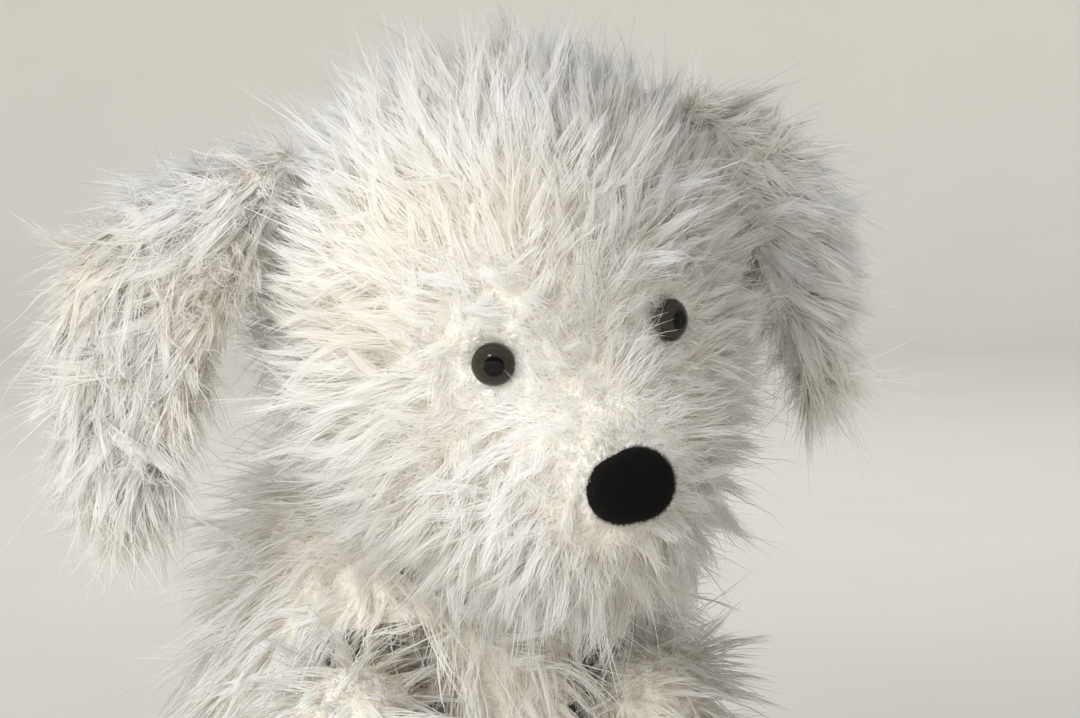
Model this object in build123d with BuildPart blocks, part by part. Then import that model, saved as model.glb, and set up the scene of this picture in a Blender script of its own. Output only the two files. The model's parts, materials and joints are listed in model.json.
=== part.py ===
"""Seated long-pile plush dog, an assembly of sewn fur covers around soft fillings, in millimetres.

The origin is the middle of the flat base that the dog sits on. The dog faces -Y, with its own left
side at +X. Each cover is a shell as thick as its fabric and dense pile together. The head is modelled
in its own frame, which the neck holds tilted to the dog's right. Head, neck and body meet on spheres
about one point, so the neck can turn, tilt and nod without one soft solid entering another. Every
stuffed form is round about an axis and is listed as balls along it: (distance, radius).
"""

from build123d import *
import os
from math import cos, radians, sin

os.makedirs("parts", exist_ok=True)

# ------------------------------------------------------------------ driving dimensions
PILE = 10.0  # fabric backing and dense pile together
SOFT_GAP = 0.5  # room between soft bodies that move on each other
SIDES = {"right": -1, "left": 1}
FAR = 400.0  # larger than the whole dog

# Body: a rump and a chest on one upright axis
BODY = [(60.0, 70.0), (137.0, 62.0)]
BASE_THICKNESS = 8.0
CHEST_GUSSET_HALF_WIDTH = 20.0
CHEST_GUSSET_BACK = -18.0  # the chest gusset ends at this Y
POUCH_BOTTOM = (0, 0, 18)
POUCH_RADIUS = 28.0
POUCH_HEIGHT = 26.0
POUCH_ROUND = 10.0
POUCH_CLOTH = 0.8

# Neck: a ball of filling in a fur collar, both centred on the point that the head moves about
NECK_PIVOT = (0, -39.9, 182.3)
NECK_LEAN = 39.0  # degrees forward of upright
NECK_RADIUS = 34.0
NECK_FILLING_RADIUS = 24.0
COLLAR_HALF_WIDTH = 15.0

# Head, in its own frame: origin at the centre of the skull, -Y forward, +Z up
HEAD_TILT = 11.5  # degrees, lowers the dog's right side
HEAD_NOD = 6.0  # degrees, lowers the nose
HEAD_CENTRE_FROM_PIVOT = (0, -31, 49)
SKULL_RADIUS = 57.0
SKULL = [(-9.0, SKULL_RADIUS), (9.0, SKULL_RADIUS)]
FACE_SHIFT = (0, -3, 0)  # the skull's filling sits forward, so the pile is shorter on the face
MUZZLE_CENTRE = (0, -22, -31)
MUZZLE = [(-10.0, 36.0), (10.0, 36.0)]
MUZZLE_PILE = 8.0
HEAD_GUSSET_HALF_WIDTH = 19.0
CHIN_SEAM_HEIGHT = -42.0

# Eyes: plastic, on barbed shanks that pass through the cover and lock behind it
EYE_HEIGHT = 2.0
EYE_TURN_OUT = 28.0  # degrees
EYE_SEAT_DEPTH = 3.0  # thickness of cover that an eye's washer clamps
EYE_RADIUS = 5.25
EYE_RIM = 1.4
EYE_DOME_HEIGHT = 4.0
EYE_ROOM = 0.4
PUPIL_RADIUS = 2.2
PUPIL_HEIGHT = 0.5
LENS_LIP = 0.3  # the lens rests on the iris by a lip at its edge
LENS_ROOM = 0.1  # between the lens and what lies behind it
SHANK_RADIUS = 1.6
SHANK_LENGTH = 11.0
WASHER_RADIUS = 6.0
WASHER_THICKNESS = 1.5
WASHER_BACK = EYE_SEAT_DEPTH + WASHER_THICKNESS

# Nose: a padded felt oval, broader at the dog's left end
NOSE_SEAT = (0, -62.5, -31.5)
NOSE_TIP_UP = 8.0  # degrees
NOSE_BROAD_RADIUS = 8.75
NOSE_BROAD_AT = (1.9, 0.2)
NOSE_NARROW_RADIUS = 8.1
NOSE_NARROW_AT = (-2.7, -0.2)
NOSE_HEIGHT = 8.5
NOSE_CROWN = 5.5
FELT = 1.2

# Ears: flat pads in the head's coronal plane, hinged on their seams and drooping outwards. The left
# ear is sewn on a little lower and hangs further down than the right one. Each side has its own:
EAR_SEAM_CENTRE = {-1: (50.5, 3, 41), 1: (55.5, 3, 31.5)}
EAR_SEAM_SLOPE = {-1: -59.3, 1: -67.0}  # degrees, seen from the front, with X outwards
EAR_DROOP = {-1: 6.0, 1: 34.0}  # degrees
EAR_SWEEP_BACK = 14.0  # degrees
EAR_HALF_THICKNESS = 8.0
EAR_EDGE_ROUND = 4.0
EAR_ROOT_BEVEL = 50.0  # degrees off the ear's plane, so the root can turn close to the head
EAR_OUTLINE = [
    (-8, 13.5), (20, 17), (48, 9), (65, -9), (72, -38),
    (68, -70), (57, -72), (35, -47), (20, -24), (8, -13.5),
]

# Limbs: balls at the root, the ankle and the foot, with their distances from the pivot
FORE_PIVOT = (42, -50, 118)
FORE_PAW = (34, -96, 20.5)
FORE_LENGTH = (Vector(FORE_PAW) - Vector(FORE_PIVOT)).length
FORE_LEG = [(0.0, 21.5), (74.0, 19.0), (FORE_LENGTH, 21.5)]
FORE_SWING = 40.0  # degrees, up
HIND_LEG = [(0.0, 29.0), (66.0, 24.0), (94.0, 26.0)]
HIND_PIVOT = (60, -6, 25)
HIND_TURN_OUT = 16.0  # degrees
HIND_SWING = 35.0  # degrees, further out
TAIL = [(0.0, 17.0), (30.0, 15.5), (48.0, 14.0)]
TAIL_PIVOT = (0, 64, 56)
TAIL_RISE = 38.0  # degrees
TAIL_SWING = 30.0  # degrees, to each side

# ------------------------------------------------------------------ frames
nodded = Location(NECK_PIVOT, (0, -HEAD_TILT, 0)) * Location((0, 0, 0), (HEAD_NOD, 0, 0))
head_place = nodded * Location(HEAD_CENTRE_FROM_PIVOT)
neck_frame = Plane(Location(NECK_PIVOT, (NECK_LEAN, 0, 0)))


def on_head(local):
    """Place a plane that is given in the head's own frame."""
    return Plane(head_place * local.location)


def turned(frame, angle):
    """A frame turned about its own X axis, which is a limb's hinge."""
    return Plane(frame.location * Location((0, 0, 0), (angle, 0, 0)))


def fore_leg_frame(side):
    """Z down the leg, X along the level hinge, so that positive turns lift the paw forward."""
    pivot = Vector(side * FORE_PIVOT[0], *FORE_PIVOT[1:])
    paw = Vector(side * FORE_PAW[0], *FORE_PAW[1:])
    along = (paw - pivot).normalized()
    hinge = Vector(0, 0, -1).cross(Vector(0, -1, 0))
    hinge = (hinge - along * hinge.dot(along)).normalized()
    return Plane(pivot, x_dir=hinge, z_dir=along)


def hind_leg_frame(side):
    """Z along the level leg, X upright, so that turns of the leg slide it over the ground."""
    out = radians(HIND_TURN_OUT)
    return Plane(
        (side * HIND_PIVOT[0], *HIND_PIVOT[1:]),
        x_dir=(0, 0, side),
        z_dir=(side * sin(out), -cos(out), 0),
    )


rise = radians(TAIL_RISE)
tail_frame = Plane(TAIL_PIVOT, x_dir=(0, -sin(rise), cos(rise)), z_dir=(0, cos(rise), sin(rise)))


# ------------------------------------------------------------------ forms
def side_plane(frame):
    """The plane through a frame's Z axis, with its X along the frame's X and its Y along Z."""
    return Plane(frame.origin, x_dir=frame.x_dir, z_dir=-frame.y_dir)


def ball(centre, radius, mode=Mode.ADD):
    with Locations(centre):
        Sphere(radius, mode=mode)


def stretched(start, end, grow):
    """The outline stretched over two balls that stand along Y."""
    with BuildSketch(mode=Mode.PRIVATE) as stretch:
        for distance, radius in (start, end):
            with Locations((0, distance)):
                Circle(radius + grow)
        make_hull()
    return stretch.sketch


def stuffed(frame, balls, grow=0.0):
    """A stuffed form about the frame's Z axis, stretched from each of its balls to the next."""
    with BuildSketch(side_plane(frame), mode=Mode.PRIVATE) as half:
        for start, end in zip(balls, balls[1:]):
            add(stretched(start, end, grow))
        split(bisect_by=Plane.YZ)
    revolve(half.sketch, axis=Axis(frame.origin, frame.z_dir))


def limb_slot(frame, balls, swings):
    """A flat-sided slot that holds a limb at every one of its turns, given in degrees."""
    room = {distance: radius + SOFT_GAP for distance, radius in (balls[0], balls[-1])}
    hinge_plane = Plane(frame.origin, x_dir=frame.y_dir, z_dir=frame.x_dir)
    with BuildSketch(hinge_plane, mode=Mode.PRIVATE) as fan:
        for swing in swings:
            for distance, radius in room.items():
                turn = radians(swing)
                with Locations((-distance * sin(turn), distance * cos(turn))):
                    Circle(radius)
        make_hull()
    extrude(fan.sketch, amount=max(room.values()), both=True)


def above_ground(height=0.0):
    """Cut the part level at a height, for what rests on the ground."""
    split(bisect_by=Plane.XY.offset(height), keep=Keep.TOP)


pieces = []


def finish(piece, name):
    piece.part.label = name
    pieces.append(piece.part)


# ------------------------------------------------------------------ body
with BuildPart() as limb_room:
    for side in SIDES.values():
        limb_slot(fore_leg_frame(side), FORE_LEG, (0, FORE_SWING / 2, FORE_SWING))
        limb_slot(hind_leg_frame(side), HIND_LEG, (0, HIND_SWING))
    limb_slot(tail_frame, TAIL, (-TAIL_SWING, 0, TAIL_SWING))
    ball(NECK_PIVOT, NECK_RADIUS + SOFT_GAP)


def pouch_form(inset):
    """A flat round pouch with full sides."""
    with BuildSketch(Plane(POUCH_BOTTOM).offset(inset), mode=Mode.PRIVATE) as face:
        Circle(POUCH_RADIUS - inset)
    extrude(face.sketch, amount=POUCH_HEIGHT - 2 * inset)
    rims = edges().filter_by(GeomType.CIRCLE)
    fillet(rims, POUCH_ROUND - inset)


with BuildPart() as pouch_outside:
    pouch_form(0)

with BuildPart() as body_inside:
    stuffed(Plane.XY, BODY, -PILE)
    above_ground(BASE_THICKNESS)

with BuildPart() as body_shell:
    stuffed(Plane.XY, BODY)
    above_ground()
    add(body_inside.part, mode=Mode.SUBTRACT)
    add(limb_room.part, mode=Mode.SUBTRACT)

with BuildPart() as chest_gusset_room:
    with Locations((0, CHEST_GUSSET_BACK, BASE_THICKNESS)):
        Box(2 * CHEST_GUSSET_HALF_WIDTH, FAR, FAR, align=(Align.CENTER, Align.MAX, Align.MIN))

with BuildPart() as body_base_panel:
    add(body_shell.part)
    split(bisect_by=Plane.XY.offset(BASE_THICKNESS), keep=Keep.BOTTOM)
finish(body_base_panel, "body_base_panel")

with BuildPart() as chest_gusset:
    add(body_shell.part)
    add(chest_gusset_room.part, mode=Mode.INTERSECT)
finish(chest_gusset, "chest_gusset")

for name, kept in {"right": Keep.BOTTOM, "left": Keep.TOP}.items():
    with BuildPart() as body_side_panel:
        add(body_shell.part)
        above_ground(BASE_THICKNESS)
        split(bisect_by=Plane.YZ, keep=kept)
        add(chest_gusset_room.part, mode=Mode.SUBTRACT)
    finish(body_side_panel, f"body_{name}_panel")

with BuildPart() as body_filling:
    add(body_inside.part)
    add(limb_room.part, mode=Mode.SUBTRACT)
    add(pouch_outside.part, mode=Mode.SUBTRACT)
finish(body_filling, "body_filling")

with BuildPart() as pellets:
    pouch_form(POUCH_CLOTH)
finish(pellets, "pellets")

with BuildPart() as pellet_pouch:
    add(pouch_outside.part)
    add(pellets.part, mode=Mode.SUBTRACT)
finish(pellet_pouch, "pellet_pouch")

# ------------------------------------------------------------------ neck
with BuildPart() as neck_collar:
    ball(NECK_PIVOT, NECK_RADIUS)
    ball(NECK_PIVOT, NECK_FILLING_RADIUS + SOFT_GAP, Mode.SUBTRACT)
    split(bisect_by=neck_frame.offset(-COLLAR_HALF_WIDTH), keep=Keep.TOP)
    split(bisect_by=neck_frame.offset(COLLAR_HALF_WIDTH), keep=Keep.BOTTOM)
finish(neck_collar, "neck_collar")

with BuildPart() as neck_filling:
    ball(NECK_PIVOT, NECK_FILLING_RADIUS)
finish(neck_filling, "neck_filling")


# ------------------------------------------------------------------ face pieces
def eye_plane(side):
    """Z out of the eye, from the seat that its back rests on."""
    out = radians(EYE_TURN_OUT)
    outwards = Vector(side * sin(out), -cos(out), 0)
    seat = Vector(FACE_SHIFT) + outwards * (SKULL_RADIUS - PILE + EYE_SEAT_DEPTH) + Vector(0, 0, EYE_HEIGHT)
    return on_head(Plane(seat, z_dir=outwards))


def disc(plane, radius, bottom, height, mode=Mode.ADD):
    with BuildSketch(plane.offset(bottom), mode=Mode.PRIVATE) as face:
        Circle(radius)
    extrude(face.sketch, amount=height, mode=mode)


def dome(plane, radius, bottom, height):
    """A round cap whose flat side is at bottom."""
    with BuildSketch(side_plane(plane.offset(bottom)), mode=Mode.PRIVATE) as half:
        with BuildLine():
            arc_middle = (radius * cos(radians(45)), height * sin(radians(45)))
            ThreePointArc((0, height), arc_middle, (radius, 0))
            Polyline((radius, 0), (0, 0), (0, height))
        make_face()
    revolve(half.sketch, axis=Axis(plane.origin, plane.z_dir))


nose_turn = radians(NOSE_TIP_UP)
nose_plane = on_head(Plane(NOSE_SEAT, x_dir=(1, 0, 0), z_dir=(0, -cos(nose_turn), sin(nose_turn))))


def nose_form(inset):
    with BuildSketch(nose_plane, mode=Mode.PRIVATE) as oval:
        with Locations(NOSE_BROAD_AT):
            Circle(NOSE_BROAD_RADIUS - inset)
        with Locations(NOSE_NARROW_AT):
            Circle(NOSE_NARROW_RADIUS - inset)
        make_hull()
    extrude(oval.sketch, amount=NOSE_HEIGHT - inset)
    front = faces().sort_by(Axis(nose_plane.origin, nose_plane.z_dir))[-1]
    fillet(front.edges(), NOSE_CROWN - inset)


for name, side in SIDES.items():
    plane = eye_plane(side)

    with BuildPart() as eye_iris:
        disc(plane, EYE_RADIUS, 0, EYE_RIM)
        disc(plane, SHANK_RADIUS, -SHANK_LENGTH, SHANK_LENGTH)
    finish(eye_iris, f"{name}_eye_iris")

    with BuildPart() as eye_pupil:
        disc(plane, PUPIL_RADIUS, EYE_RIM, PUPIL_HEIGHT)
    finish(eye_pupil, f"{name}_eye_pupil")

    with BuildPart() as eye_lens:
        dome(plane, EYE_RADIUS, EYE_RIM, EYE_DOME_HEIGHT - EYE_RIM)
        disc(plane, EYE_RADIUS - LENS_LIP, EYE_RIM, LENS_ROOM, Mode.SUBTRACT)
        disc(plane, PUPIL_RADIUS + LENS_ROOM, EYE_RIM, PUPIL_HEIGHT + LENS_ROOM, Mode.SUBTRACT)
    finish(eye_lens, f"{name}_eye_lens")

    with BuildPart() as eye_washer:
        disc(plane, WASHER_RADIUS, -WASHER_BACK, WASHER_THICKNESS)
        disc(plane, SHANK_RADIUS, -SHANK_LENGTH, SHANK_LENGTH, Mode.SUBTRACT)
    finish(eye_washer, f"{name}_eye_washer")

with BuildPart() as nose_padding:
    nose_form(FELT)
finish(nose_padding, "nose_padding")

with BuildPart() as nose_outside:
    nose_form(0)

with BuildPart() as nose_cover:
    add(nose_outside.part)
    add(nose_padding.part, mode=Mode.SUBTRACT)
finish(nose_cover, "nose_cover")

with BuildPart() as cover_room:
    add(nose_outside.part)
    for side in SIDES.values():
        disc(eye_plane(side), EYE_RADIUS + EYE_ROOM, 0, PILE)
        disc(eye_plane(side), SHANK_RADIUS, -SHANK_LENGTH, SHANK_LENGTH)
        disc(eye_plane(side), WASHER_RADIUS, -WASHER_BACK, WASHER_THICKNESS)

with BuildPart() as filling_room:
    add(nose_outside.part)
    for side in SIDES.values():
        disc(eye_plane(side), SHANK_RADIUS, -SHANK_LENGTH, SHANK_LENGTH)
        disc(eye_plane(side), WASHER_RADIUS, -WASHER_BACK, WASHER_BACK)


# ------------------------------------------------------------------ head
def head_form(inset, muzzle_inset, shift):
    stuffed(on_head(Plane(shift)), SKULL, -inset)
    muzzle = on_head(Plane(MUZZLE_CENTRE, x_dir=(1, 0, 0), z_dir=(0, -1, 0)))
    stuffed(muzzle, MUZZLE, -muzzle_inset)


with BuildPart() as head_inside:
    head_form(PILE, MUZZLE_PILE, FACE_SHIFT)
    ball(NECK_PIVOT, NECK_RADIUS + SOFT_GAP, Mode.SUBTRACT)

with BuildPart() as head_shell:
    head_form(0, 0, (0, 0, 0))
    ball(NECK_PIVOT, NECK_RADIUS + SOFT_GAP, Mode.SUBTRACT)
    add(head_inside.part, mode=Mode.SUBTRACT)
    add(cover_room.part, mode=Mode.SUBTRACT)

with BuildPart() as head_filling:
    add(head_inside.part)
    add(filling_room.part, mode=Mode.SUBTRACT)
finish(head_filling, "head_filling")

right_seam = on_head(Plane.YZ.offset(-HEAD_GUSSET_HALF_WIDTH))
left_seam = on_head(Plane.YZ.offset(HEAD_GUSSET_HALF_WIDTH))
chin_seam = on_head(Plane.XY.offset(CHIN_SEAM_HEIGHT))

with BuildPart() as head_gusset:
    add(head_shell.part)
    split(bisect_by=chin_seam, keep=Keep.TOP)
    split(bisect_by=right_seam, keep=Keep.TOP)
    split(bisect_by=left_seam, keep=Keep.BOTTOM)
finish(head_gusset, "head_gusset")

with BuildPart() as head_right_panel:
    add(head_shell.part)
    split(bisect_by=chin_seam, keep=Keep.TOP)
    split(bisect_by=right_seam, keep=Keep.BOTTOM)
finish(head_right_panel, "head_right_panel")

with BuildPart() as head_left_panel:
    add(head_shell.part)
    split(bisect_by=chin_seam, keep=Keep.TOP)
    split(bisect_by=left_seam, keep=Keep.TOP)
finish(head_left_panel, "head_left_panel")

with BuildPart() as head_chin_panel:
    add(head_shell.part)
    split(bisect_by=chin_seam, keep=Keep.BOTTOM)
finish(head_chin_panel, "head_chin_panel")


# ------------------------------------------------------------------ ears
def ear_plane(side):
    """The ear's mid plane: X outwards, Y up, Z forward, from the middle of its seam."""
    back = radians(EAR_SWEEP_BACK)
    outwards, *rest = EAR_SEAM_CENTRE[side]
    return on_head(Plane(
        (side * outwards, *rest),
        x_dir=(cos(back), side * sin(back), 0),
        z_dir=(side * sin(back), -cos(back), 0),
    ))


def ear_half(side, facing):
    """One fur panel of an ear, on the front (+1) or the back (-1) of its mid plane."""
    plane = ear_plane(side)
    droop = radians(EAR_DROOP[side])
    points = [
        (side * (x * cos(droop) + y * sin(droop)), y * cos(droop) - x * sin(droop))
        for x, y in EAR_OUTLINE
    ]
    with BuildSketch(plane, mode=Mode.PRIVATE) as outline:
        with BuildLine():
            Spline(*points)
            Line(points[-1], points[0])
        make_face()
    extrude(outline.sketch, amount=facing * EAR_HALF_THICKNESS)
    rim = faces().sort_by(Axis(plane.origin, plane.z_dir * facing))[-1].edges()
    fillet(rim.sort_by(SortBy.LENGTH)[-1:], EAR_EDGE_ROUND)
    slope = radians(EAR_SEAM_SLOPE[side])
    seam = Vector(side * cos(slope), sin(slope), 0)
    outwards = Vector(-side * sin(slope), cos(slope), 0)
    bevel = radians(EAR_ROOT_BEVEL)
    normal = outwards * sin(bevel) - Vector(0, 0, facing) * cos(bevel)
    split(bisect_by=Plane(plane.location * Plane((0, 0, 0), x_dir=seam, z_dir=normal).location))


for name, side in SIDES.items():
    with BuildPart() as ear_front_panel:
        ear_half(side, 1)
    finish(ear_front_panel, f"{name}_ear_front_panel")

    with BuildPart() as ear_back_panel:
        ear_half(side, -1)
    finish(ear_back_panel, f"{name}_ear_back_panel")


# ------------------------------------------------------------------ limbs
def limb_pieces(frame, balls, name):
    with BuildPart() as limb_filling:
        stuffed(frame, balls, -PILE)
    finish(limb_filling, f"{name}_filling")

    with BuildPart() as limb_cover:
        stuffed(frame, balls)
        above_ground()
        add(limb_filling.part, mode=Mode.SUBTRACT)
    finish(limb_cover, f"{name}_cover")


for name, side in SIDES.items():
    limb_pieces(fore_leg_frame(side), FORE_LEG, f"{name}_fore_leg")
    limb_pieces(hind_leg_frame(side), HIND_LEG, f"{name}_hind_leg")
limb_pieces(tail_frame, TAIL, "tail")

for piece in pieces:
    export_step(piece, f"parts/{piece.label}.step")
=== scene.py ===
import json
from math import cos, pi, radians, sin

import bpy
import numpy as np
from mathutils import Euler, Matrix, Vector
from mathutils.bvhtree import BVHTree
from mathutils.kdtree import KDTree


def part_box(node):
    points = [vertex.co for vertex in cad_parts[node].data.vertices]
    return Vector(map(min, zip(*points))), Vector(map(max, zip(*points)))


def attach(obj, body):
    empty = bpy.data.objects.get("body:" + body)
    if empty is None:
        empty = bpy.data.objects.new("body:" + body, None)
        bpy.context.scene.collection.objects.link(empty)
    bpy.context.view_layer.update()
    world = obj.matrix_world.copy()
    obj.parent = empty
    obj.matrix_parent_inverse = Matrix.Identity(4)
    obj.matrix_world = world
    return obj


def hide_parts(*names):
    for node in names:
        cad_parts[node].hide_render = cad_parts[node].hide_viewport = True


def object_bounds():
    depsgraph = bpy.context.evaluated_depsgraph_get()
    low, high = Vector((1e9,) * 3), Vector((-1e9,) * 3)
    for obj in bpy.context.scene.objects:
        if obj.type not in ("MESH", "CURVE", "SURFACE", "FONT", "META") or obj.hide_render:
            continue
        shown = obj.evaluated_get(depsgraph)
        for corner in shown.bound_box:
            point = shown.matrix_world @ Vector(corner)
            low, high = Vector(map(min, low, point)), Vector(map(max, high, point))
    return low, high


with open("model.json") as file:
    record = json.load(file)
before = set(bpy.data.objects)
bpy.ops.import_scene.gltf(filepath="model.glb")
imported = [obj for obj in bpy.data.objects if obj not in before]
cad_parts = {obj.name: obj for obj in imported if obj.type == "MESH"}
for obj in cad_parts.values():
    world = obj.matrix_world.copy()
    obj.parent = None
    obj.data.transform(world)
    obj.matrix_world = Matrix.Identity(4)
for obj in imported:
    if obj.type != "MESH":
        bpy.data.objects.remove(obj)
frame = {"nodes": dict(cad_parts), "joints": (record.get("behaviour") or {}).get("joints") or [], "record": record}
cad_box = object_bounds()

NODES = frame["nodes"]
BODIES = frame["record"]["behaviour"]["bodies"]
JOINTS = {joint["name"]: joint for joint in frame["joints"]}
MM = 0.001

# ---------------------------------------------------------------- the head's own frame
HEAD_TILT = 11.5  # degrees
HEAD_NOD = 6.0
HEAD_CENTRE_FROM_PIVOT = (0.0, -31.0, 49.0)  # mm
NECK_PIVOT = Vector(JOINTS["neck_tilt"]["pos_m"])
head_turn = Euler((0, radians(-HEAD_TILT), 0)).to_matrix() @ Euler((radians(HEAD_NOD), 0, 0)).to_matrix()
HEAD_TURN = np.array(head_turn)
HEAD_CENTRE = np.array(NECK_PIVOT + head_turn @ Vector(HEAD_CENTRE_FROM_PIVOT) * MM)
EYE_RADIUS = 5.25  # mm


def middle(node):
    low, high = (np.array(corner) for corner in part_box(node))
    return (low + high) / 2


def to_head(points):
    """Row-frame metres to millimetres in the head's own frame: X its left, -Y forward, Z up."""
    return (points - HEAD_CENTRE) @ HEAD_TURN / MM


def from_head(vectors):
    """Turns directions of the head's frame into the row frame."""
    return vectors @ HEAD_TURN.T


def unit(vectors):
    return vectors / np.maximum(np.linalg.norm(vectors, axis=-1, keepdims=True), 1e-9)


def flat_to(vectors, normals):
    """The part of each vector that lies in the surface."""
    return unit(vectors - normals * np.sum(vectors * normals, axis=1, keepdims=True))


def ramp(values, start, end):
    t = np.clip((values - start) / (end - start), 0, 1)
    return t * t * (3 - 2 * t)


# ---------------------------------------------------------------- materials
def new_material(name, roughness, **sockets):
    material = bpy.data.materials.new(name)
    material.use_nodes = True
    shader = material.node_tree.nodes["Principled BSDF"]
    shader.inputs["Roughness"].default_value = roughness
    for socket, value in sockets.items():
        shader.inputs[socket.replace("_", " ")].default_value = value
    return material


def add_node(material, kind, **settings):
    node = material.node_tree.nodes.new(kind)
    for name, value in settings.items():
        if name in node.inputs:
            node.inputs[name].default_value = value
        else:
            setattr(node, name, value)
    return node


def join(material, out, into):
    material.node_tree.links.new(out, into)


def colour_ramp(material, factor, stops):
    node = add_node(material, "ShaderNodeValToRGB")
    elements = node.color_ramp.elements
    while len(elements) < len(stops):
        elements.new(0.5)
    for element, (position, colour) in zip(elements, stops):
        element.position = position
        element.color = (*colour, 1)
    join(material, factor, node.inputs["Fac"])
    return node.outputs["Color"]


def mix(material, factor, a, b, blend="MIX"):
    node = add_node(material, "ShaderNodeMix", data_type="RGBA", blend_type=blend)
    for value, socket in ((factor, node.inputs[0]), (a, node.inputs[6]), (b, node.inputs[7])):
        if isinstance(value, (int, float, tuple)):
            socket.default_value = value
        else:
            join(material, value, socket)
    return node.outputs[2]


def noise(material, scale, detail=3.0):
    where = add_node(material, "ShaderNodeTexCoord").outputs["Object"]
    node = add_node(material, "ShaderNodeTexNoise", Scale=scale, Detail=detail)
    join(material, where, node.inputs["Vector"])
    return node.outputs["Fac"]


def bump(material, height, strength, distance):
    node = add_node(material, "ShaderNodeBump", Strength=strength, Distance=distance)
    join(material, height, node.inputs["Height"])
    join(material, node.outputs["Normal"], material.node_tree.nodes["Principled BSDF"].inputs["Normal"])


def paint(material, colour):
    join(material, colour, material.node_tree.nodes["Principled BSDF"].inputs["Base Color"])


# Root colour darker and warmer than the tip: painted shade at the base of the pile
SHADED_ROOT_COLOUR = (0.96, 0.93, 0.87)
TIP_COLOUR = (0.99, 0.985, 0.975)
WARM_COLOUR = (0.97, 0.94, 0.89)


def fibre_material(name, root=SHADED_ROOT_COLOUR, tip=TIP_COLOUR, warm=WARM_COLOUR, glow=0.5):
    """Fibres from a darker, warmer root (painted shade deep in the pile) to a paler tip, each a little different,
    in broad soft patches.
    """
    material = new_material(name, 0.62, Specular_IOR_Level=0.25, Sheen_Weight=0.25, Sheen_Roughness=0.5)
    along = add_node(material, "ShaderNodeUVMap", uv_map="Fibre").outputs["UV"]
    parts = add_node(material, "ShaderNodeSeparateXYZ")
    join(material, along, parts.inputs[0])
    # darker towards the root: painted shade deep in the pile
    root_shade = colour_ramp(material, parts.outputs["Y"], [(0.0, root), (0.55, tip), (1.0, tip)])
    each = colour_ramp(material, parts.outputs["X"], [(0.0, warm), (0.45, (1, 1, 1)), (1.0, (1, 1, 1))])
    patches = colour_ramp(material, noise(material, 28.0), [(0.35, (0.99, 0.97, 0.93)), (0.65, (1, 1, 1))])
    colour = mix(material, 1.0, mix(material, 0.5, root_shade, each, "MULTIPLY"), patches, "MULTIPLY")
    paint(material, colour)
    if glow:
        through = add_node(material, "ShaderNodeBsdfTranslucent")
        join(material, colour, through.inputs["Color"])
        both = add_node(material, "ShaderNodeMixShader")
        both.inputs[0].default_value = glow
        join(material, material.node_tree.nodes["Principled BSDF"].outputs[0], both.inputs[1])
        join(material, through.outputs[0], both.inputs[2])
        join(material, both.outputs[0], material.node_tree.nodes["Material Output"].inputs["Surface"])
    return material


def shaded_backing_material():
    """Knitted backing with short woolly undercoat, seen only between the locks; its colour, darker and yellower
    than the fibres, is painted shade for the deep pile.
    """
    material = new_material("shaded_woolly_backing", 0.9, Sheen_Weight=0.3)
    wool = noise(material, 900.0, 4.0)
    # darker, yellower cream than the fibres: painted shade deep in the pile
    paint(material, colour_ramp(material, wool, [(0.3, (0.90, 0.84, 0.73)), (0.7, (0.96, 0.93, 0.86))]))
    bump(material, wool, 0.8, 0.002)
    return material


FUR = fibre_material("long_pile_fibre")
SHADED_BACKING = shaded_backing_material()


def hard_material(name, dark, light, roughness, scale, relief=0.15, **sockets):
    material = new_material(name, roughness, **sockets)
    grain = noise(material, scale)
    paint(material, colour_ramp(material, grain, [(0.3, dark), (0.7, light)]))
    bump(material, grain, relief, 0.0001)
    return material


IRIS = hard_material("charcoal_plastic", (0.052, 0.047, 0.038), (0.066, 0.060, 0.049), 0.6, 1500.0)
PUPIL = hard_material("black_plastic", (0.002, 0.002, 0.002), (0.004, 0.0035, 0.003), 0.4, 800.0)
WHITE_PLASTIC = hard_material("white_plastic", (0.72, 0.70, 0.64), (0.80, 0.78, 0.74), 0.5, 400.0)
FELT = hard_material("black_felt", (0.0025, 0.0022, 0.0018), (0.006, 0.005, 0.004), 0.95, 2500.0,
                     Specular_IOR_Level=0.08, Sheen_Weight=0.02, Sheen_Roughness=0.6)
WADDING = hard_material("polyester_wadding", (0.75, 0.74, 0.72), (0.88, 0.87, 0.85), 0.95, 500.0)
POUCH = hard_material("pouch_cloth", (0.60, 0.55, 0.46), (0.70, 0.65, 0.56), 0.9, 2000.0)


def lens_material(side):
    """The eye's dome, painted opaque and glossy: a charcoal ring round a black pupil, darkened at the rim by
    painted shade.
    """
    pupil, iris = middle(f"{side}_eye_pupil"), middle(f"{side}_eye_iris")
    material = new_material(f"{side}_eye_dome", 0.09, Specular_IOR_Level=0.25)
    where = add_node(material, "ShaderNodeTexCoord").outputs["Object"]
    offset = add_node(material, "ShaderNodeVectorMath", operation="SUBTRACT")
    join(material, where, offset.inputs[0])
    offset.inputs[1].default_value = pupil
    across = add_node(material, "ShaderNodeVectorMath", operation="CROSS_PRODUCT")
    join(material, offset.outputs[0], across.inputs[0])
    across.inputs[1].default_value = unit(pupil - iris)
    radius = add_node(material, "ShaderNodeVectorMath", operation="LENGTH")
    join(material, across.outputs[0], radius.inputs[0])
    share = add_node(material, "ShaderNodeMath", operation="DIVIDE")
    join(material, radius.outputs["Value"], share.inputs[0])
    share.inputs[1].default_value = EYE_RADIUS * MM
    # the last stop darkens the ring at the dome's rim: painted shade where the dome meets the fur
    ring = colour_ramp(material, share.outputs[0], [
        (0.0, (0.0008, 0.0007, 0.0006)), (0.455, (0.0008, 0.0007, 0.0006)),
        (0.50, (0.030, 0.026, 0.019)), (0.93, (0.034, 0.029, 0.021)), (1.0, (0.008, 0.007, 0.005)),
    ])
    grain = colour_ramp(material, noise(material, 1400.0), [(0.35, (0.86, 0.86, 0.86)), (0.65, (1, 1, 1))])
    paint(material, mix(material, 1.0, ring, grain, "MULTIPLY"))
    return material


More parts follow.
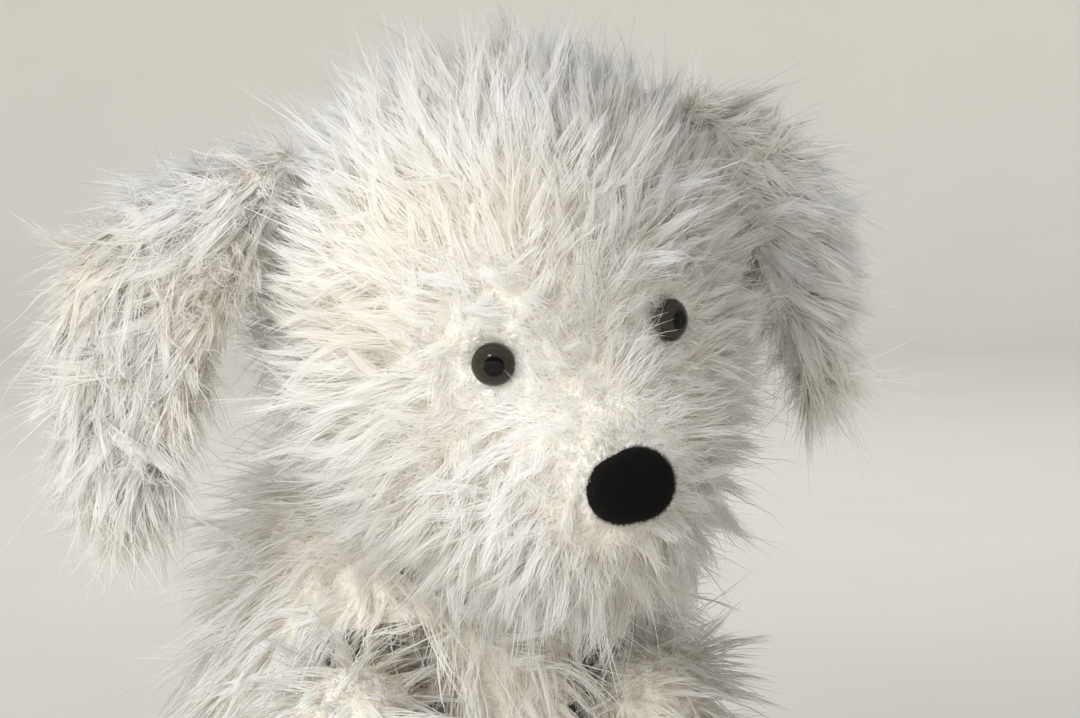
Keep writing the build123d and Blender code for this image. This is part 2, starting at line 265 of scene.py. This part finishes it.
# ---------------------------------------------------------------- skins
def mesh_arrays(mesh):
    points = np.empty(len(mesh.vertices) * 3)
    mesh.vertices.foreach_get("co", points)
    normals = np.empty(len(mesh.vertices) * 3)
    mesh.vertices.foreach_get("normal", normals)
    mesh.calc_loop_triangles()
    triangles = np.empty(len(mesh.loop_triangles) * 3, np.int32)
    mesh.loop_triangles.foreach_get("vertices", triangles)
    return points.reshape(-1, 3), normals.reshape(-1, 3), triangles.reshape(-1, 3)


def evaluated(piece):
    """Applies the piece's modifiers to its mesh."""
    seen = piece.evaluated_get(bpy.context.evaluated_depsgraph_get())
    mesh = bpy.data.meshes.new_from_object(seen)
    piece.modifiers.clear()
    piece.data = mesh


def new_piece(name, mesh, material):
    piece = bpy.data.objects.new(name, mesh)
    bpy.context.scene.collection.objects.link(piece)
    mesh.materials.clear()
    mesh.materials.append(material)
    return piece


def skin(name, nodes, inset, voxel, material=SHADED_BACKING):
    """The sewn and stuffed skin of a body: the outline of its CAD nodes, moved in from the pile's ends."""
    points, triangles, count = [], [], 0
    for node in nodes:
        node_points, _, node_triangles = mesh_arrays(NODES[node].data)
        points.append(node_points)
        triangles.append(node_triangles + count)
        count += len(node_points)
    mesh = bpy.data.meshes.new(name)
    mesh.from_pydata(np.concatenate(points).tolist(), [], np.concatenate(triangles).tolist())
    piece = new_piece(name, mesh, material)
    remesh = piece.modifiers.new("Remesh", "REMESH")
    remesh.mode = "VOXEL"
    remesh.voxel_size = voxel * MM
    smooth = piece.modifiers.new("Smooth", "SMOOTH")
    smooth.iterations = 6
    evaluated(piece)
    mesh = piece.data
    points, normals, _ = mesh_arrays(mesh)
    mesh.vertices.foreach_set("co", (points - normals * inset * MM).ravel())
    smooth = piece.modifiers.new("Smooth", "SMOOTH")
    smooth.iterations = 4
    bpy.context.view_layer.update()
    evaluated(piece)
    piece.data.materials.clear()
    piece.data.materials.append(material)
    piece.data.shade_smooth()
    return piece


# ---------------------------------------------------------------- strands
# Fibres stay inside the CAD box and a set margin of room beyond it
ROOM_SHARE, ROOM_MARGIN = 0.03, 8.5 * MM
cad_low, cad_high = (np.array(corner) for corner in cad_box)
ROOM_LOW = cad_low - (cad_high - cad_low) * ROOM_SHARE - ROOM_MARGIN
ROOM_HIGH = cad_high + (cad_high - cad_low) * ROOM_SHARE + ROOM_MARGIN
SEGMENTS = 4
HEAD_FUR, HEAD_WOOL = 92000, 52000  # fibres
EAR_FUR, EAR_WOOL = 28000, 20000
TORSO_FUR, COLLAR_FUR, LEG_FUR, TAIL_FUR = 62000, 9000, 17000, 7000
NOSE_FUZZ = 9000
WISP_SHARE = 0.10  # fibres that stand clear of their locks
MOST_STRANDS = 28000  # in one piece


def scatter(piece, count, rng):
    """Even random points on a piece's surface, with smooth normals."""
    points, normals, triangles = mesh_arrays(piece.data)
    a, b, c = (points[triangles[:, i]] for i in range(3))
    areas = np.linalg.norm(np.cross(b - a, c - a), axis=1) / 2
    chosen = np.searchsorted(np.cumsum(areas) / areas.sum(), rng.random(count))
    chosen = np.minimum(chosen, len(triangles) - 1)
    u, v = rng.random(count), rng.random(count)
    over = u + v > 1
    u[over], v[over] = 1 - u[over], 1 - v[over]
    weights = np.stack([1 - u - v, u, v], 1)
    corners = triangles[chosen]
    where = np.einsum("ij,ijk->ik", weights, points[corners])
    facing = unit(np.einsum("ij,ijk->ik", weights, normals[corners]))
    return where, facing, areas.sum() / MM ** 2


def path(root, start, end, length, t):
    """A point at share t of a fibre that leaves along start and bends towards end."""
    t = t[:, None] if np.ndim(t) else t
    length = length[:, None]
    knee = root + start * length * 0.45
    tip = knee + end * length * 0.6
    return root * (1 - t) ** 2 + knee * 2 * t * (1 - t) + tip * t * t


def nearest(points, centres):
    tree = KDTree(len(centres))
    for i, centre in enumerate(centres):
        tree.insert(centre, i)
    tree.balance()
    return np.array([tree.find(point)[1] for point in points])


def fur(name, body, rooted, style, rng, lock_size, material=FUR):
    """Fibres as tapered ribbons, gathered into locks. style(points, normals) gives for each point
    the comb direction, length in mm, lean at the root and at the tip in degrees, width in mm,
    how tightly it gathers, crimp in mm and how much locks differ."""
    roots, facing, area = rooted
    comb, length, lean_root, lean_tip, width, gather, crimp, unruly = style(roots, facing)
    count = len(roots)
    picks = rng.permutation(count)[: int(area / lock_size ** 2)]
    locks = nearest(roots, roots[picks])
    number = len(picks)

    def directions(normal, along, root_lean, tip_lean, swing, tip_swing, lift):
        side = np.cross(normal, along)
        turned = along * np.cos(swing)[:, None] + side * np.sin(swing)[:, None]
        further = along * np.cos(tip_swing)[:, None] + side * np.sin(tip_swing)[:, None]
        root_lean = np.radians(np.clip(root_lean + lift, 0, 84))
        tip_lean = np.radians(np.clip(tip_lean + lift, 0, 95))
        start = normal * np.cos(root_lean)[:, None] + turned * np.sin(root_lean)[:, None]
        end = normal * np.cos(tip_lean)[:, None] + further * np.sin(tip_lean)[:, None]
        return start, end

    lock_swing = rng.normal(0, 1, number) * np.radians(30)
    lock_tip_swing = lock_swing + rng.normal(0, 1, number) * np.radians(28)
    lock_lift = rng.normal(0, 13, number)
    lock_length = np.clip(rng.normal(1, 0.2, number), 0.55, 1.6)
    long_lock = rng.random(number) < 0.12
    lock_length[long_lock] *= 1.3

    swing = lock_swing[locks] * unruly + rng.normal(0, 0.16, count)
    tip_swing = lock_tip_swing[locks] * unruly + rng.normal(0, 0.2, count)
    lift = lock_lift[locks] * unruly + rng.normal(0, 5, count)
    own = length * MM * lock_length[locks] * np.clip(rng.normal(0.92, 0.16, count), 0.4, 1.15)
    wisps = rng.random(count) < WISP_SHARE
    own[wisps] *= rng.uniform(1.2, 1.95, count)[wisps]
    start, end = directions(facing, comb, lean_root, lean_tip, swing, tip_swing, lift)

    guide_root = roots[picks][locks]
    guide_facing = facing[picks][locks]
    guide_length = length[picks][locks] * MM * lock_length[locks]
    guide_start, guide_end = directions(
        guide_facing, comb[picks][locks], lean_root[picks][locks], lean_tip[picks][locks],
        lock_swing[locks] * unruly, lock_tip_swing[locks] * unruly, lock_lift[locks] * unruly,
    )
    hold = np.clip(gather + rng.normal(0, 0.12, count), 0, 0.97)
    free = wisps | (rng.random(count) < 0.12)
    hold[free] *= 0.3

    phase = rng.random(count) * 2 * pi
    waves = rng.uniform(1.1, 2.6, count)
    twist = rng.uniform(-1.1, 1.1, count)
    rings = []
    for ring in range(SEGMENTS + 1):
        t = ring / SEGMENTS
        own_path = path(roots, start, end, own, t)
        share = np.clip(t * own / np.maximum(guide_length, 1e-6), 0, 1.05)
        guide = path(guide_root, guide_start, guide_end, guide_length, share)
        pull = (hold * min(1.0, 1.25 * t ** 0.8))[:, None]
        rings.append(own_path * (1 - pull) + guide * pull)
    rings = np.stack(rings)
    rings[0] = roots - facing * 0.6 * MM
    tangents = unit(np.gradient(rings, axis=0))
    outward = flat_to(np.repeat(facing[None], SEGMENTS + 1, 0).reshape(-1, 3),
                      tangents.reshape(-1, 3)).reshape(rings.shape)
    across = np.cross(tangents, outward)
    for ring in range(1, SEGMENTS + 1):
        t = ring / SEGMENTS
        wave = (crimp * MM * t * np.sin(phase + waves * 2 * pi * t))[:, None]
        lifted = (crimp * MM * t * np.cos(phase * 1.7 + waves * 2 * pi * t))[:, None]
        rings[ring] += across[ring] * wave + outward[ring] * lifted * 0.6
    flat = across * np.cos(twist)[None, :, None] + outward * np.sin(twist)[None, :, None]
    reach = rings - rings[0]
    spare = np.where(reach > 0, ROOM_HIGH - rings[0], rings[0] - ROOM_LOW)
    share = np.min(spare / np.maximum(np.abs(reach), 1e-7), axis=(0, 2))
    rings = rings[0] + reach * np.clip(share, 0.05, 1)[None, :, None]
    rings[:, :, 2] = np.maximum(rings[:, :, 2], 0.4 * MM)

    taper = np.array([0.8, 1.0, 0.85, 0.55, 0.0])
    made = []
    parts = int(np.ceil(count / MOST_STRANDS))
    group = np.argsort(locks, kind="stable")
    for part, chosen in enumerate(np.array_split(group, parts)):
        half = flat[:, chosen] * (width[chosen] * MM / 2)[None, :, None] * taper[:, None, None]
        middle_line = rings[:, chosen]
        n = len(chosen)
        left, right = middle_line[:-1] - half[:-1], middle_line[:-1] + half[:-1]
        points = np.concatenate([
            np.stack([left, right], 2).transpose(1, 0, 2, 3).reshape(n, -1, 3),
            middle_line[-1][:, None],
        ], 1)
        shade = facing[chosen][:, None] + outward[:, chosen].transpose(1, 0, 2) * 0.5
        face_normal = np.cross(tangents[:, chosen], flat[:, chosen])
        side_sign = np.sign(np.sum(face_normal * outward[:, chosen], axis=2, keepdims=True))
        shade = shade + (face_normal * side_sign).transpose(1, 0, 2) * 0.2
        shade = unit(shade)
        shades = np.concatenate([np.repeat(shade[:, :-1], 2, 1), shade[:, -1:]], 1)
        mesh = ribbon_mesh(f"{name}_{part + 1}", points, shades, rng.random(n))
        piece = new_piece(f"{name}_{part + 1}", mesh, material)
        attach(piece, body)
        made.append(piece)
    return made


def ribbon_mesh(name, points, normals, variation):
    """One mesh of ribbons, each of 2 points a ring and one at the tip."""
    n, each, _ = points.shape
    mesh = bpy.data.meshes.new(name)
    mesh.vertices.add(n * each)
    mesh.vertices.foreach_set("co", points.reshape(-1).astype(np.float32))
    quads = np.array([[2 * i, 2 * i + 1, 2 * i + 3, 2 * i + 2] for i in range(SEGMENTS - 1)]).ravel()
    tip = np.array([each - 3, each - 2, each - 1])
    pattern = np.concatenate([quads, tip])
    corners = (np.arange(n)[:, None] * each + pattern[None]).ravel()
    sizes = np.array([4] * (SEGMENTS - 1) + [3])
    starts = np.concatenate([[0], np.cumsum(sizes)[:-1]])
    starts = (np.arange(n)[:, None] * len(pattern) + starts[None]).ravel()
    mesh.loops.add(len(corners))
    mesh.loops.foreach_set("vertex_index", corners.astype(np.int32))
    mesh.polygons.add(len(starts))
    mesh.polygons.foreach_set("loop_start", starts.astype(np.int32))
    mesh.update(calc_edges=True)
    mesh.shade_smooth()
    rings = np.concatenate([np.repeat(np.arange(SEGMENTS), 2), [SEGMENTS]]) / SEGMENTS
    along = np.tile(rings, n)
    across = np.repeat(variation, each)
    layer = mesh.uv_layers.new(name="Fibre")
    layer.data.foreach_set("uv", np.stack([across, along], 1)[corners].ravel().astype(np.float32))
    mesh.normals_split_custom_set_from_vertices(normals.reshape(-1, 3))
    return mesh


def crowding(points, facing, obstacles, clear):
    """Millimetres from each point to a neighbouring body along its normal, at most clear."""
    gaps = np.empty(len(points))
    for i, (point, normal) in enumerate(zip(points, facing)):
        hit = obstacles.ray_cast(Vector(point), Vector(normal), clear * MM)
        gaps[i] = hit[3] / MM if hit[0] is not None else clear
    return gaps


def obstacle_tree(bodies):
    points, triangles, count = [], [], 0
    for body in bodies:
        for node in BODIES[body]:
            if node.endswith(("cover", "panel", "gusset", "collar")):
                node_points, _, node_triangles = mesh_arrays(NODES[node].data)
                points.append(node_points)
                triangles.append(node_triangles + count)
                count += len(node_points)
    return BVHTree.FromPolygons(np.concatenate(points).tolist(), np.concatenate(triangles).tolist())


# ---------------------------------------------------------------- head
EYES = [to_head(middle(f"{side}_eye_pupil")) for side in ("right", "left")]
NOSE = to_head(middle("nose_cover"))
FACE_MIDDLE = np.array([0.0, -52.0, -14.0])


def head_style(roots, facing):
    local = to_head(roots)
    normal = facing @ HEAD_TURN
    x, y, z = local.T
    away = flat_to(local - FACE_MIDDLE, normal)
    back = ramp(y, 0.0, 34.0)[:, None]
    down = flat_to(np.tile([0.0, 0.25, -1.0], (len(local), 1)), normal)
    comb = away * (1 - back) + down * back
    length = 15.5 - 1.0 * ramp(z, 15, 50) + 3.0 * ramp(-z, 25, 50)
    face = np.exp(-((np.linalg.norm((local - FACE_MIDDLE) * [1.0, 0.5, 0.9], axis=1) / 30.0) ** 2))
    length = length * (1 - face) + 8.5 * face
    open_ground = np.ones(len(local))
    for eye in EYES:
        gap = np.linalg.norm(local - eye, axis=1)
        comb += flat_to(local - eye, normal) * (1.6 * np.exp(-((gap / 10.0) ** 2)))[:, None]
        open_ground *= 0.3 + 0.7 * ramp(gap, 6.0, 20.0)
    gap = np.linalg.norm(local - NOSE, axis=1)
    comb += flat_to(local - NOSE, normal) * (2.5 * np.exp(-((gap / 15.0) ** 2)))[:, None]
    open_ground *= 0.28 + 0.72 * ramp(gap, 10.0, 25.0)
    length *= open_ground
    comb = flat_to(comb, normal)
    wool = np.maximum(face, 1 - open_ground)
    lean_root = 28.0 + 22.0 * wool
    lean_tip = 62.0 + 12.0 * wool - 8.0 * ramp(z, 20, 50) - 10.0 * ramp(-z, 30, 50)
    width = 0.23 - 0.03 * wool
    gather = 0.80 - 0.40 * wool
    crimp = 0.5 + 0.55 * wool
    return from_head(comb), length, lean_root, lean_tip, width, gather, crimp, 1.0


def wool_of(style, share, longest):
    """A short crimped undercoat beneath a style."""
    def undercoat(roots, facing):
        comb, length, lean_root, lean_tip, width, gather, crimp, unruly = style(roots, facing)
        ones = np.ones(len(roots))
        return (comb, np.minimum(length * share, longest), 30.0 * ones, 50.0 * ones, width * 1.05,
                0.35 * ones, 1.1 * ones, 1.6)
    return undercoat


def share_of(count):
    return max(200, int(count * (1.0)))


rng = np.random.default_rng(11)
head_nodes = [node for node in BODIES["head"] if node.endswith(("panel", "gusset")) or node == "head_filling"]
face_nodes = ["nose_padding"]
face_nodes += [f"{side}_eye_{part}" for side in ("right", "left") for part in ("iris", "washer")]
head_skin = skin("head_skin", head_nodes + face_nodes, 4.5, 2.0)
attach(head_skin, "head")
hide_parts(*head_nodes)


def head_roots(count):
    roots, facing, area = scatter(head_skin, share_of(count), rng)
    local = to_head(roots)
    neck_gap = np.linalg.norm(roots - np.array(NECK_PIVOT), axis=1) / MM
    keep = neck_gap > 37.0
    for eye in EYES:
        keep &= np.linalg.norm((local - eye)[:, [0, 2]], axis=1) > 5.0
    keep &= np.linalg.norm((local - NOSE) * [0.82, 0.6, 1.0], axis=1) > 8.4
    return roots[keep], facing[keep], area


fur("head_fur", "head", head_roots(HEAD_FUR), head_style, rng, 4.2)
fur("head_wool", "head", head_roots(HEAD_WOOL), wool_of(head_style, 0.6, 9.0), rng, 2.4)

# ---------------------------------------------------------------- ears
for side, sign in (("right", -1), ("left", 1)):
    joint = JOINTS[f"{side}_ear_fold"]
    seam = np.array(joint["pos_m"])
    nodes = BODIES[f"{side}_ear"]
    ear_skin = skin(f"{side}_ear_skin", nodes, 5.8, 1.4)
    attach(ear_skin, f"{side}_ear")
    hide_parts(*nodes)
    seam_local = to_head(seam)

    def ear_style(roots, facing, sign=sign, seam_local=seam_local):
        local = to_head(roots) - seam_local
        normal = facing @ HEAD_TURN
        out = local[:, 0] * sign
        reach = np.hypot(out, local[:, 2])
        droop = ramp(reach, 15.0, 68.0)
        across = np.tile([0.9 * sign, 0.15, -0.2], (len(local), 1))
        fall = np.tile([0.4 * sign, 0.0, -1.0], (len(local), 1))
        comb = across * (1 - droop)[:, None] + fall * droop[:, None]
        comb = flat_to(unit(comb), normal)
        length = 14.0 + 2.0 * droop
        ones = np.ones(len(local))
        return (from_head(comb), length, 46.0 * ones, 70.0 * ones, 0.27 * ones,
                0.72 * ones, 0.5 * ones, 0.8)

    body = f"{side}_ear"
    fur(f"{body}_fur", body, scatter(ear_skin, share_of(EAR_FUR), rng), ear_style, rng, 4.2)
    ear_wool = wool_of(ear_style, 0.6, 9.5)
    fur(f"{body}_wool", body, scatter(ear_skin, share_of(EAR_WOOL), rng), ear_wool, rng, 2.4)

# ---------------------------------------------------------------- body, neck, limbs and tail
LIMBS = [f"{side}_{leg}_leg" for side in ("right", "left") for leg in ("fore", "hind")] + ["tail"]


def plain_style(axis_start, axis_end, length, fall=0.0, lean=58.0, width=0.38):
    """Fibres combed along a form's axis, with a share of straight down."""
    start, end = np.array(axis_start), np.array(axis_end)
    along = unit(end - start)

    def style(roots, facing):
        count = len(roots)
        comb = np.tile(along * (1 - fall) + np.array([0, 0, -1.0]) * fall, (count, 1))
        comb += 0.25 * unit(roots - start - np.outer((roots - start) @ along, along))
        comb = flat_to(comb, facing)
        ones = np.ones(count)
        gaps = crowding(roots, facing, style.obstacles, 14.0)
        lengths = length * (0.62 + 0.38 * ramp(gaps, 1.0, 12.0))
        height = roots[:, 2] / MM
        lengths = lengths * (0.3 + 0.7 * ramp(height, 2.0, 16.0))
        return (comb, lengths, 34.0 * ones, lean * ones, width * ones, 0.84 * ones, 0.5 * ones, 1.0)

    return style


torso_nodes = [node for node in BODIES["torso"] if node.endswith(("panel", "gusset"))]
torso_skin = skin("torso_skin", torso_nodes + ["body_filling", "pellets", "pellet_pouch"], 4.5, 2.6)
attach(torso_skin, "torso")
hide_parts(*torso_nodes, "body_filling")
torso_low, torso_high = (np.array(corner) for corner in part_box("body_filling"))
torso_style = plain_style((0, 0, torso_high[2]), (0, 0, torso_low[2]), 19.0, 0.3, 60.0)
torso_style.obstacles = obstacle_tree(LIMBS)
roots, facing, area = scatter(torso_skin, share_of(TORSO_FUR), rng)
keep = np.linalg.norm(roots - np.array(NECK_PIVOT), axis=1) > 37.0 * MM
keep &= roots[:, 2] > 3.0 * MM
fur("torso_fur", "torso", (roots[keep], facing[keep], area), torso_style, rng, 5.0)

collar_skin = skin("collar_skin", ["neck_collar"], 2.5, 1.6)
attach(collar_skin, "collar")
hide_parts("neck_collar")
neck_axis = Vector(JOINTS["neck_turn"]["axis"])
collar_style = plain_style(NECK_PIVOT + neck_axis, NECK_PIVOT, 11.0, 0.6, 66.0)
collar_style.obstacles = obstacle_tree(["head", "torso"])
roots, facing, area = scatter(collar_skin, share_of(COLLAR_FUR), rng)
keep = np.linalg.norm(roots - np.array(NECK_PIVOT), axis=1) > 29.0 * MM
fur("collar_fur", "collar", (roots[keep], facing[keep], area), collar_style, rng, 3.5)

for limb in LIMBS:
    cover, filling = f"{limb}_cover", f"{limb}_filling"
    limb_skin = skin(f"{limb}_skin", [cover, filling], 4.5 if limb != "tail" else 5.0, 1.8)
    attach(limb_skin, limb)
    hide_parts(cover, filling)
    joint = next(j for j in JOINTS.values() if j["child"] == limb)
    pivot = np.array(joint["pos_m"])
    end = 2 * middle(cover) - pivot
    limb_style = plain_style(pivot, end, 15.0 if limb != "tail" else 17.0, 0.15, 58.0, 0.36)
    limb_style.obstacles = obstacle_tree([body for body in ["torso", *LIMBS] if body != limb])
    rooted = scatter(limb_skin, share_of(LEG_FUR if limb != "tail" else TAIL_FUR), rng)
    fur(f"{limb}_fur", limb, rooted, limb_style, rng, 4.5)

# ---------------------------------------------------------------- nose fuzz
# black fuzz, darker at the root than the tip: painted shade at the base of the fuzz
FUZZ = fibre_material("black_fuzz", (0.003, 0.003, 0.003), (0.010, 0.009, 0.008), (0.5, 0.5, 0.5), 0.0)
fuzz_shader = FUZZ.node_tree.nodes["Principled BSDF"]
fuzz_shader.inputs["Sheen Weight"].default_value = 0.02
fuzz_shader.inputs["Specular IOR Level"].default_value = 0.1


def fuzz_style(roots, facing):
    ones = np.ones(len(roots))
    comb = flat_to(rng.normal(0, 1, roots.shape), facing)
    return comb, 0.9 * ones, 25 * ones, 60 * ones, 0.07 * ones, 0.1 * ones, 0.12 * ones, 1.0


roots, facing, area = scatter(NODES["nose_cover"], share_of(NOSE_FUZZ), rng)
keep = np.sum((roots - middle("nose_padding")) * facing, axis=1) > 0
for piece in fur("nose_fuzz", "head", (roots[keep], facing[keep], area), fuzz_style, rng, 1.0, FUZZ):
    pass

# ---------------------------------------------------------------- CAD nodes that stay
RIGHT_LENS, LEFT_LENS = lens_material("right"), lens_material("left")
for node, piece in NODES.items():
    for ending, material in (("iris", IRIS), ("pupil", PUPIL), ("washer", WHITE_PLASTIC),
                             ("right_eye_lens", RIGHT_LENS), ("left_eye_lens", LEFT_LENS),
                             ("nose_cover", FELT), ("nose_padding", WADDING), ("neck_filling", WADDING),
                             ("pellets", WHITE_PLASTIC), ("pellet_pouch", POUCH)):
        if node.endswith(ending):
            piece.data.materials.clear()
            piece.data.materials.append(material)

# ---------------------------------------------------------------- stage, light and camera
CARD = hard_material("pale_card", (0.78, 0.75, 0.68), (0.80, 0.77, 0.70), 0.9, 6.0)
COVE_RADIUS, COVE_BEND, COVE_HEIGHT = 3.6, 0.7, 1.2


def cove():
    """A round floor that curves up into a wall."""
    profile = [(0.02, 0.0)] + [(COVE_RADIUS - COVE_BEND, 0.0)]
    profile += [(COVE_RADIUS - COVE_BEND + COVE_BEND * sin(a), COVE_BEND - COVE_BEND * cos(a))
                for a in np.linspace(0, pi / 2, 13)[1:]]
    profile += [(COVE_RADIUS, COVE_HEIGHT)]
    around = 96
    points, faces = [], []
    for radius, height in profile:
        for step in range(around):
            a = 2 * pi * step / around
            points.append((radius * cos(a), radius * sin(a), height))
    for ring in range(len(profile) - 1):
        for step in range(around):
            a, b = ring * around + step, ring * around + (step + 1) % around
            faces.append((a, b, b + around, a + around))
    faces.append(tuple(range(around - 1, -1, -1)))
    mesh = bpy.data.meshes.new("cove")
    mesh.from_pydata(points, [], faces)
    mesh.shade_smooth()
    return new_piece("cove", mesh, CARD)


stage_piece = cove()
stage_piece.location.z = -0.0005


def softbox(name, place, aim, size, power, colour):
    light = bpy.data.lights.new(name, "AREA")
    light.shape = "DISK"
    light.size = size
    light.energy = power
    light.color = colour
    holder = bpy.data.objects.new(name, light)
    bpy.context.scene.collection.objects.link(holder)
    holder.visible_glossy = name == "catchlight"
    holder.location = place
    holder.rotation_euler = (Vector(aim) - Vector(place)).to_track_quat("-Z", "Y").to_euler()


TARGET = Vector(HEAD_CENTRE)
softbox("key", (-1.15, -0.85, 0.6), TARGET, 1.5, 21.0, (0.96, 0.98, 1.0))
softbox("catchlight", (-0.95, -1.1, 0.85), TARGET, 0.3, 4.0, (0.97, 0.98, 1.0))
softbox("fill", (-0.3, -1.5, 0.3), TARGET, 1.2, 3.6, (1.0, 0.98, 0.96))
softbox("backdrop", (0.5, 0.8, 1.9), (1.2, 3.5, 0.3), 1.2, 25.0, (1.0, 0.98, 0.95))
world = bpy.data.worlds.new("studio")
bpy.context.scene.world = world
world.use_nodes = True
sky = world.node_tree.nodes["Background"]
sky.inputs["Color"].default_value = (0.90, 0.95, 1.0, 1)
sky.inputs["Strength"].default_value = 0.45
bpy.context.scene.view_settings.view_transform = "Standard"

CAMERA_AZIMUTH, CAMERA_ELEVATION, CAMERA_DISTANCE, CAMERA_LENS = -22.0, 4.5, 0.80, 104.0
AIM_FROM_HEAD = (0.008, 0.0, -0.0105)  # across the view, along it, up
azimuth, elevation = radians(CAMERA_AZIMUTH), radians(CAMERA_ELEVATION)
forward = Vector((-sin(azimuth) * cos(elevation), cos(azimuth) * cos(elevation), -sin(elevation)))
rightward = Vector((cos(azimuth), sin(azimuth), 0))
upward = rightward.cross(forward)
aim = TARGET + rightward * AIM_FROM_HEAD[0] + upward * AIM_FROM_HEAD[2]
camera_data = bpy.data.cameras.new("camera")
camera_data.lens = CAMERA_LENS
camera_data.sensor_width = 36.0
camera = bpy.data.objects.new("camera", camera_data)
bpy.context.scene.collection.objects.link(camera)
camera.location = aim - forward * CAMERA_DISTANCE
camera.rotation_euler = forward.to_track_quat("-Z", "Y").to_euler()
bpy.context.scene.camera = camera
